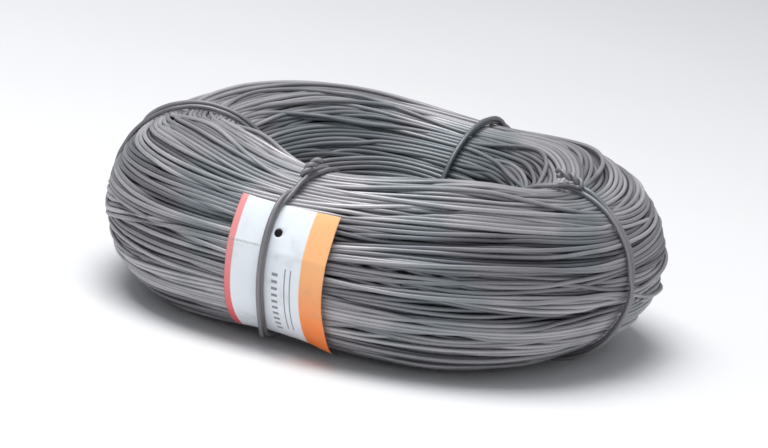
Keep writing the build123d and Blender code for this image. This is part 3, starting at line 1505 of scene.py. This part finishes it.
@dataclass(frozen=True)
class PrintedLabel:
    """The label's sheet: bluish white, a red stripe, an orange band, and plain printed rules.

    Places on it are shares of its width from the left and of its length from the top.

    Attributes:
        name: The material's name.
        white: The sheet.
        stripe: The stripe at the lower end.
        stripe_pale: The stripe at the upper end.
        orange: The band at the lower end.
        orange_pale: The band at the upper end.
        ink: The rules.
        smudge_and_fold_shade: The grey of handling, which also paints the shade in the fold.
        stripe_edge: Where the stripe at the left ends and the white is full.
        band_edge: Where the white ends and the band at the right is full.
        ink_cover: How much the ink covers.
        fold_down: How far down the fold lies.
        fold_width: How far from it there is no painted shade, and where it is full.
        fold_end: Where the painted shade has gone towards the right, and where it is full.
        fold_shade_cover: How much the painted shade in the fold covers.
        smudge_cover: How much the grey of handling covers.
        rows: How many short bars would go into the whole length.
        bar: The shares of its row between which a bar lies.
        bars_across: Between which places across the bars lie.
        bars_down: Between which places down they lie.
        lines_across: For each long line, between which places across it lies.
        lines_down: Between which places down the lines lie.
    """

    name: str = "printed_label"
    white: Rgb = (0.775, 0.82, 0.87)
    stripe: Rgb = (0.72, 0.10, 0.11)
    stripe_pale: Rgb = (0.80, 0.28, 0.28)
    orange: Rgb = (0.93, 0.22, 0.04)
    orange_pale: Rgb = (0.93, 0.475, 0.21)
    ink: Rgb = (0.12, 0.12, 0.15)
    smudge_and_fold_shade: Rgb = (0.30, 0.28, 0.27)
    stripe_edge: tuple[float, float] = (0.058, 0.066)
    band_edge: tuple[float, float] = (0.752, 0.760)
    ink_cover: float = 0.8
    fold_down: float = 0.294
    fold_width: tuple[float, float] = (0.011, 0.001)
    fold_end: tuple[float, float] = (0.36, 0.26)
    fold_shade_cover: float = 0.55
    smudge_cover: float = 0.28
    rows: float = 21.0
    bar: tuple[float, float] = (0.24, 0.66)
    bars_across: tuple[float, float] = (0.475, 0.535)
    bars_down: tuple[float, float] = (0.43, 0.905)
    lines_across: tuple[tuple[float, float], ...] = ((0.600, 0.612), (0.655, 0.667))
    lines_down: tuple[float, float] = (0.40, 0.86)

    def build(self) -> bpy.types.Material:
        """Makes the material.

        The colour is read across the sheet: stripe, white, band, paler towards the top. Short
        plain rules stand where printing goes, painted shade darkens the fold, and handling has
        greyed the sheet in patches.

        Returns:
            The material.
        """
        nodes = Nodes(self.name)
        sheet = nodes.add("ShaderNodeUVMap", uv_map="print").outputs["UV"]
        parts = nodes.add("ShaderNodeSeparateXYZ")
        nodes.put(sheet, parts.inputs[0])
        u, v = parts.outputs["X"], parts.outputs["Y"]
        ragged = nodes.noise(nodes.stretched(sheet, (40.0, 70.0, 1.0)), detail=3.0)
        ragged = nodes.math("SUBTRACT", ragged, 0.5)
        across = nodes.math("ADD", u, nodes.math("MULTIPLY", ragged, 0.006))
        pale = nodes.ramp(across, self.bands(self.stripe_pale, self.orange_pale))
        deep = nodes.ramp(across, self.bands(self.stripe, self.orange))
        colour = nodes.mix(nodes.step(v, 0.25, 0.95), pale, deep)
        colour = nodes.mix(nodes.math("MULTIPLY", self.rules(nodes, u, v), self.ink_cover), colour, self.ink)
        # Painted shade along the sheet's fold, in the same grey as the handling.
        colour = nodes.mix(self.fold(nodes, u, v, ragged), colour, self.smudge_and_fold_shade)
        place = nodes.add("ShaderNodeTexCoord").outputs["Object"]
        patches = nodes.step(nodes.noise(place, 90.0, 4.0), 0.52, 0.80)
        colour = nodes.mix(nodes.math("MULTIPLY", patches, self.smudge_cover), colour, self.smudge_and_fold_shade)
        fibres = nodes.math("ADD", nodes.noise(place, 1400.0), nodes.noise(place, 160.0))
        nodes.bump(fibres, 0.00012, 0.5)
        nodes.finish({"Base Color": colour, "Roughness": 0.55})
        return nodes.material

    def bands(self, left: Rgb, right: Rgb) -> list[tuple[float, Rgb]]:
        """The colours across the sheet.

        Args:
            left: The stripe's colour.
            right: The band's colour.

        Returns:
            Pairs of a place across and the colour there.
        """
        places = (0.0, *self.stripe_edge, *self.band_edge, 1.0)
        return list(zip(places, (left, left, self.white, self.white, right, right)))

    def fold(self, nodes: Nodes, u: Socket, v: Socket, ragged: Socket) -> Socket:
        """Where painted shade lies in the sheet's fold, which runs across its left part.

        Args:
            nodes: The material that it goes into.
            u: The socket of the share of the width.
            v: The socket of the share of the length.
            ragged: The socket of a pattern about 0 that roughens the fold.

        Returns:
            The socket of a number from 0 to how much the painted shade covers.
        """
        rough = nodes.math("MULTIPLY", ragged, 0.02)
        down = nodes.math("SUBTRACT", nodes.math("SUBTRACT", v, self.fold_down), rough)
        off = nodes.math("ABSOLUTE", down)
        # Painted shade, strongest on the fold's line and gone towards the right.
        darkening = nodes.math("MULTIPLY", nodes.step(off, *self.fold_width), nodes.step(u, *self.fold_end))
        return nodes.math("MULTIPLY", darkening, self.fold_shade_cover)

    def rules(self, nodes: Nodes, u: Socket, v: Socket) -> Socket:
        """Where the printed rules are: a column of short bars and longer lines beside it.

        Args:
            nodes: The material that they go into.
            u: The socket of the share of the width.
            v: The socket of the share of the length.

        Returns:
            The socket of a number that is 1 on a rule and 0 beside it.
        """
        row = nodes.math("FRACT", nodes.math("MULTIPLY", v, self.rows))
        bars = nodes.math("MULTIPLY", nodes.between(row, *self.bar), nodes.between(v, *self.bars_down))
        printed = nodes.math("MULTIPLY", bars, nodes.between(u, *self.bars_across))
        for line in self.lines_across:
            drawn = nodes.math("MULTIPLY", nodes.between(u, *line), nodes.between(v, *self.lines_down))
            printed = nodes.math("MAXIMUM", printed, drawn)
        return printed


@dataclass(frozen=True)
class SoftLamp:
    """A square lamp that faces the coil.

    Attributes:
        name: The lamp's name.
        place: Where it hangs, in metres.
        power: Its power in watts.
        side: The length of its side, in metres.
        aim: The place that it faces, in metres.
    """

    name: str
    place: Place
    power: float
    side: float = 1.4
    aim: Place = (0.0, 0.0, 0.05)

    def hang(self) -> None:
        """Hangs the lamp in the scene."""
        data = bpy.data.lights.new(self.name, "AREA")
        data.shape = "SQUARE"
        data.size = self.side
        data.energy = self.power
        lamp = bpy.data.objects.new(self.name, data)
        lamp.location = self.place
        lamp.rotation_euler = (Vector(self.aim) - Vector(self.place)).to_track_quat("-Z", "Y").to_euler()
        bpy.context.collection.objects.link(lamp)


@dataclass(frozen=True)
class Studio:
    """The plain pale floor, the soft light and the camera.

    Attributes:
        floor_colour: The floor where it is lightest.
        floor_mottle: How dark its mottle is, as a share of that.
        floor_half: Half the floor's side in millimetres.
        world_colour: Of the light from all round.
        world_strength: Of the light from all round.
        lamps: The lamps.
        elevation: Degrees that the camera looks down.
        azimuth: Degrees that the camera is carried round the coil from its front.
        roll: Degrees that the camera is turned about its own axis.
        lens: The camera's focal length in millimetres.
        distance: From the camera to its target, in metres.
        target: What it looks at, in metres.
    """

    floor_colour: Rgb = (0.80, 0.80, 0.81)
    floor_mottle: float = 0.97
    floor_half: float = 7000.0
    world_colour: Rgb = (0.92, 0.96, 1.0)
    world_strength: float = 0.41
    lamps: tuple[SoftLamp, ...] = (
        SoftLamp("top_light", (-0.35, -0.20, 2.0), 46.0),
        SoftLamp("front_light", (-0.1, -2.6, 0.8), 7.5),
    )
    elevation: float = 12.5
    azimuth: float = 0.0
    roll: float = 8.9
    lens: float = 270.0
    distance: float = 3.3
    target: Place = (0.0, 0.0, 0.0525)

    def build(self) -> None:
        """Makes the floor, the world, the lamps and the camera."""
        self.build_floor()
        self.build_world()
        for lamp in self.lamps:
            lamp.hang()
        self.build_camera()

    def build_floor(self) -> None:
        """Makes the floor, a square with a faint mottle, which isn't part of the coil."""
        half = self.floor_half
        points = np.array([[-half, -half, 0], [half, -half, 0], [half, half, 0], [-half, half, 0]])
        floor = build_mesh("studio_floor", points, np.array([[0, 1, 2, 3]]))
        nodes = Nodes("floor_paint")
        mottle = nodes.noise(nodes.add("ShaderNodeTexCoord").outputs["Object"], 3.0)
        darker = tuple(self.floor_mottle * part for part in self.floor_colour)
        shade = nodes.ramp(mottle, [(0.3, darker), (0.7, self.floor_colour)])
        nodes.finish({"Base Color": shade, "Roughness": 0.85})
        floor.data.materials.append(nodes.material)

    def build_world(self) -> None:
        """Makes the even light from all round."""
        world = bpy.data.worlds.new("studio_world")
        world.use_nodes = True
        background = world.node_tree.nodes["Background"]
        background.inputs["Color"].default_value = (*self.world_colour, 1.0)
        background.inputs["Strength"].default_value = self.world_strength
        bpy.context.scene.world = world

    def build_camera(self) -> None:
        """Sets the camera: a long lens, turned about its own axis as the photograph is."""
        data = bpy.data.cameras.new("camera")
        data.lens = self.lens
        data.clip_end = 50.0
        camera = bpy.data.objects.new("camera", data)
        up, turn = math.radians(self.elevation), math.radians(self.azimuth)
        away = Vector((-math.sin(turn) * math.cos(up), -math.cos(turn) * math.cos(up), math.sin(up)))
        facing = (-away).to_track_quat("-Z", "Y").to_matrix().to_4x4()
        roll = Matrix.Rotation(math.radians(self.roll), 4, "Z")
        camera.matrix_world = Matrix.Translation(Vector(self.target) + away * self.distance) @ facing @ roll
        bpy.context.collection.objects.link(camera)
        bpy.context.scene.camera = camera


@dataclass
class WireCoil:
    """The whole coil: the wound wire, the ties and the label.

    Attributes:
        shape: The bundle's shape.
        outer_sides: How many flats go round a wire of the outer layer.
        inner_sides: How many go round a wire below it.
        most_triangles: The most that one piece of wound wire may have.
        core_depth: How deep the core lies below the bundle's surface.
        core_cells: How many cells the core has round the axis and round the section.
    """

    shape: BundleShape = field(default_factory=BundleShape)
    outer_sides: int = 8
    inner_sides: int = 6
    most_triangles: int = 190_000
    core_depth: float = 3.4 * WIRE_DIAMETER
    core_cells: tuple[int, int] = (144, 48)

    def build(self) -> None:
        """Builds each piece, dresses it and fixes it to the coil's one body."""
        winding = Winding(self.shape)
        winding.lay_out()
        winding.settle()
        winding.open_furrows()
        winding.loosen()
        winding.refine()
        self.build_turns(winding, AnnealedWire("coil_wire").build())
        # The core's near black finish is painted shade deep in the bundle.
        self.finish_piece(self.build_core(), DeepWireShade().build(), "coil_wire", "wire_coil")
        label = Label(self.shape)
        self.finish_piece(label.build(), PrintedLabel().build(), "label_sheet", "label")
        tie_wire = AnnealedWire(
            "tie_wire", dark=(0.130, 0.126, 0.136), middle=(0.262, 0.253, 0.267), light=(0.450, 0.438, 0.450)
        ).build()
        for tie in self.ties(label):
            self.finish_piece(tie.build(winding), tie_wire, "tie_wire", tie.node)

    def ties(self, label: Label) -> tuple[Tie, ...]:
        """The four ties.

        Args:
            label: The label that the front tie holds.

        Returns:
            The ties, in order round the coil.
        """
        return (
            Tie(
                TiePlace.FRONT, self.shape, twist_angle=66.0, seed=5, label=label, pitch=4.4,
                pinch=3.9, pinch_angle=-8.0, pinch_reach=50.0, lean=9.0, twist_length=13.0,
                twist_skew=-3.0,
            ),
            Tie(
                TiePlace.RIGHT, self.shape, twist_angle=80.0, seed=10, pitch=3.6, pinch=1.6,
                pinch_angle=-40.0,
            ),
            Tie(
                TiePlace.BACK, self.shape, twist_angle=20.0, seed=17, pitch=3.8, pinch=2.6,
                pinch_angle=120.0, twist_skew=3.0,
            ),
            Tie(
                TiePlace.LEFT, self.shape, twist_angle=150.0, seed=24, pitch=3.2, pinch=1.6,
                pinch_angle=95.0,
            ),
        )

    def build_turns(self, winding: Winding, material: bpy.types.Material) -> None:
        """Draws the turns, in as many pieces as keep each light enough.

        Args:
            winding: The settled turns.
            material: Their finish.
        """
        wire_of = winding.wires()
        counts = np.bincount(wire_of)
        layer_of = winding.layer[running_sum(counts)[:-1]]
        for layer in range(len(winding.layer_fill)):
            sides = self.outer_sides if layer == 0 else self.inner_sides
            groups: list[list[int]] = [[]]
            weight = 0
            for wire in np.nonzero(layer_of == layer)[0]:
                load = int(counts[wire]) * sides * 2
                if weight + load > self.most_triangles:
                    groups.append([])
                    weight = 0
                groups[-1].append(int(wire))
                weight += load
            for number, group in enumerate(groups, 1):
                chosen = np.isin(wire_of, group)
                name = f"turns_layer_{layer + 1}_{number}"
                piece = winding.path(chosen).tubes(name, WIRE_RADIUS, sides, winding.outward(chosen))
                self.finish_piece(piece, material, "coil_wire", "wire_coil")

    def build_core(self) -> bpy.types.Object:
        """Makes the mass of turns under those that are drawn one by one, dark with painted shade.

        Its surface is the bundle's own, a little over three wires deep: a circle of that radius
        in each section, carried once round the axis.

        Returns:
            The core's object.
        """
        around, across = self.core_cells
        turn = np.repeat(np.arange(around) * 360.0 / around, across)
        section = np.tile(np.radians(np.arange(across) * 360.0 / across), around)
        radius = self.shape.radius(turn) - self.core_depth
        points = self.shape.place(turn, radius * np.cos(section), radius * np.sin(section))
        number = np.arange(around * across).reshape(around, across)
        onward, beside = np.roll(number, -1, axis=0), np.roll(number, -1, axis=1)
        both = np.roll(onward, -1, axis=1)
        quads = np.stack([number, onward, both, beside], -1).reshape(-1, 4)
        return build_mesh("turns_core", points, quads)

    @staticmethod
    def finish_piece(piece: bpy.types.Object, material: bpy.types.Material, slot: str, node: str) -> None:
        """Args:
            piece: The piece.
            material: Its finish.
            slot: The record's material slot that the piece stands for; not used.
            node: The solid that it stands for.
        """
        piece.data.materials.append(material)
        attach(piece, "root")
        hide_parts(node)
        LOG.info("%s: %d faces, stands for %s", piece.name, len(piece.data.polygons), node)


def main() -> None:
    """Loads the solid model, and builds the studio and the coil."""
    logging.basicConfig(level=logging.INFO, format="%(name)s: %(message)s")
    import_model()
    bpy.context.scene.view_settings.view_transform = "Standard"
    Studio().build()
    WireCoil().build()


if __name__ == "__main__":
    main()
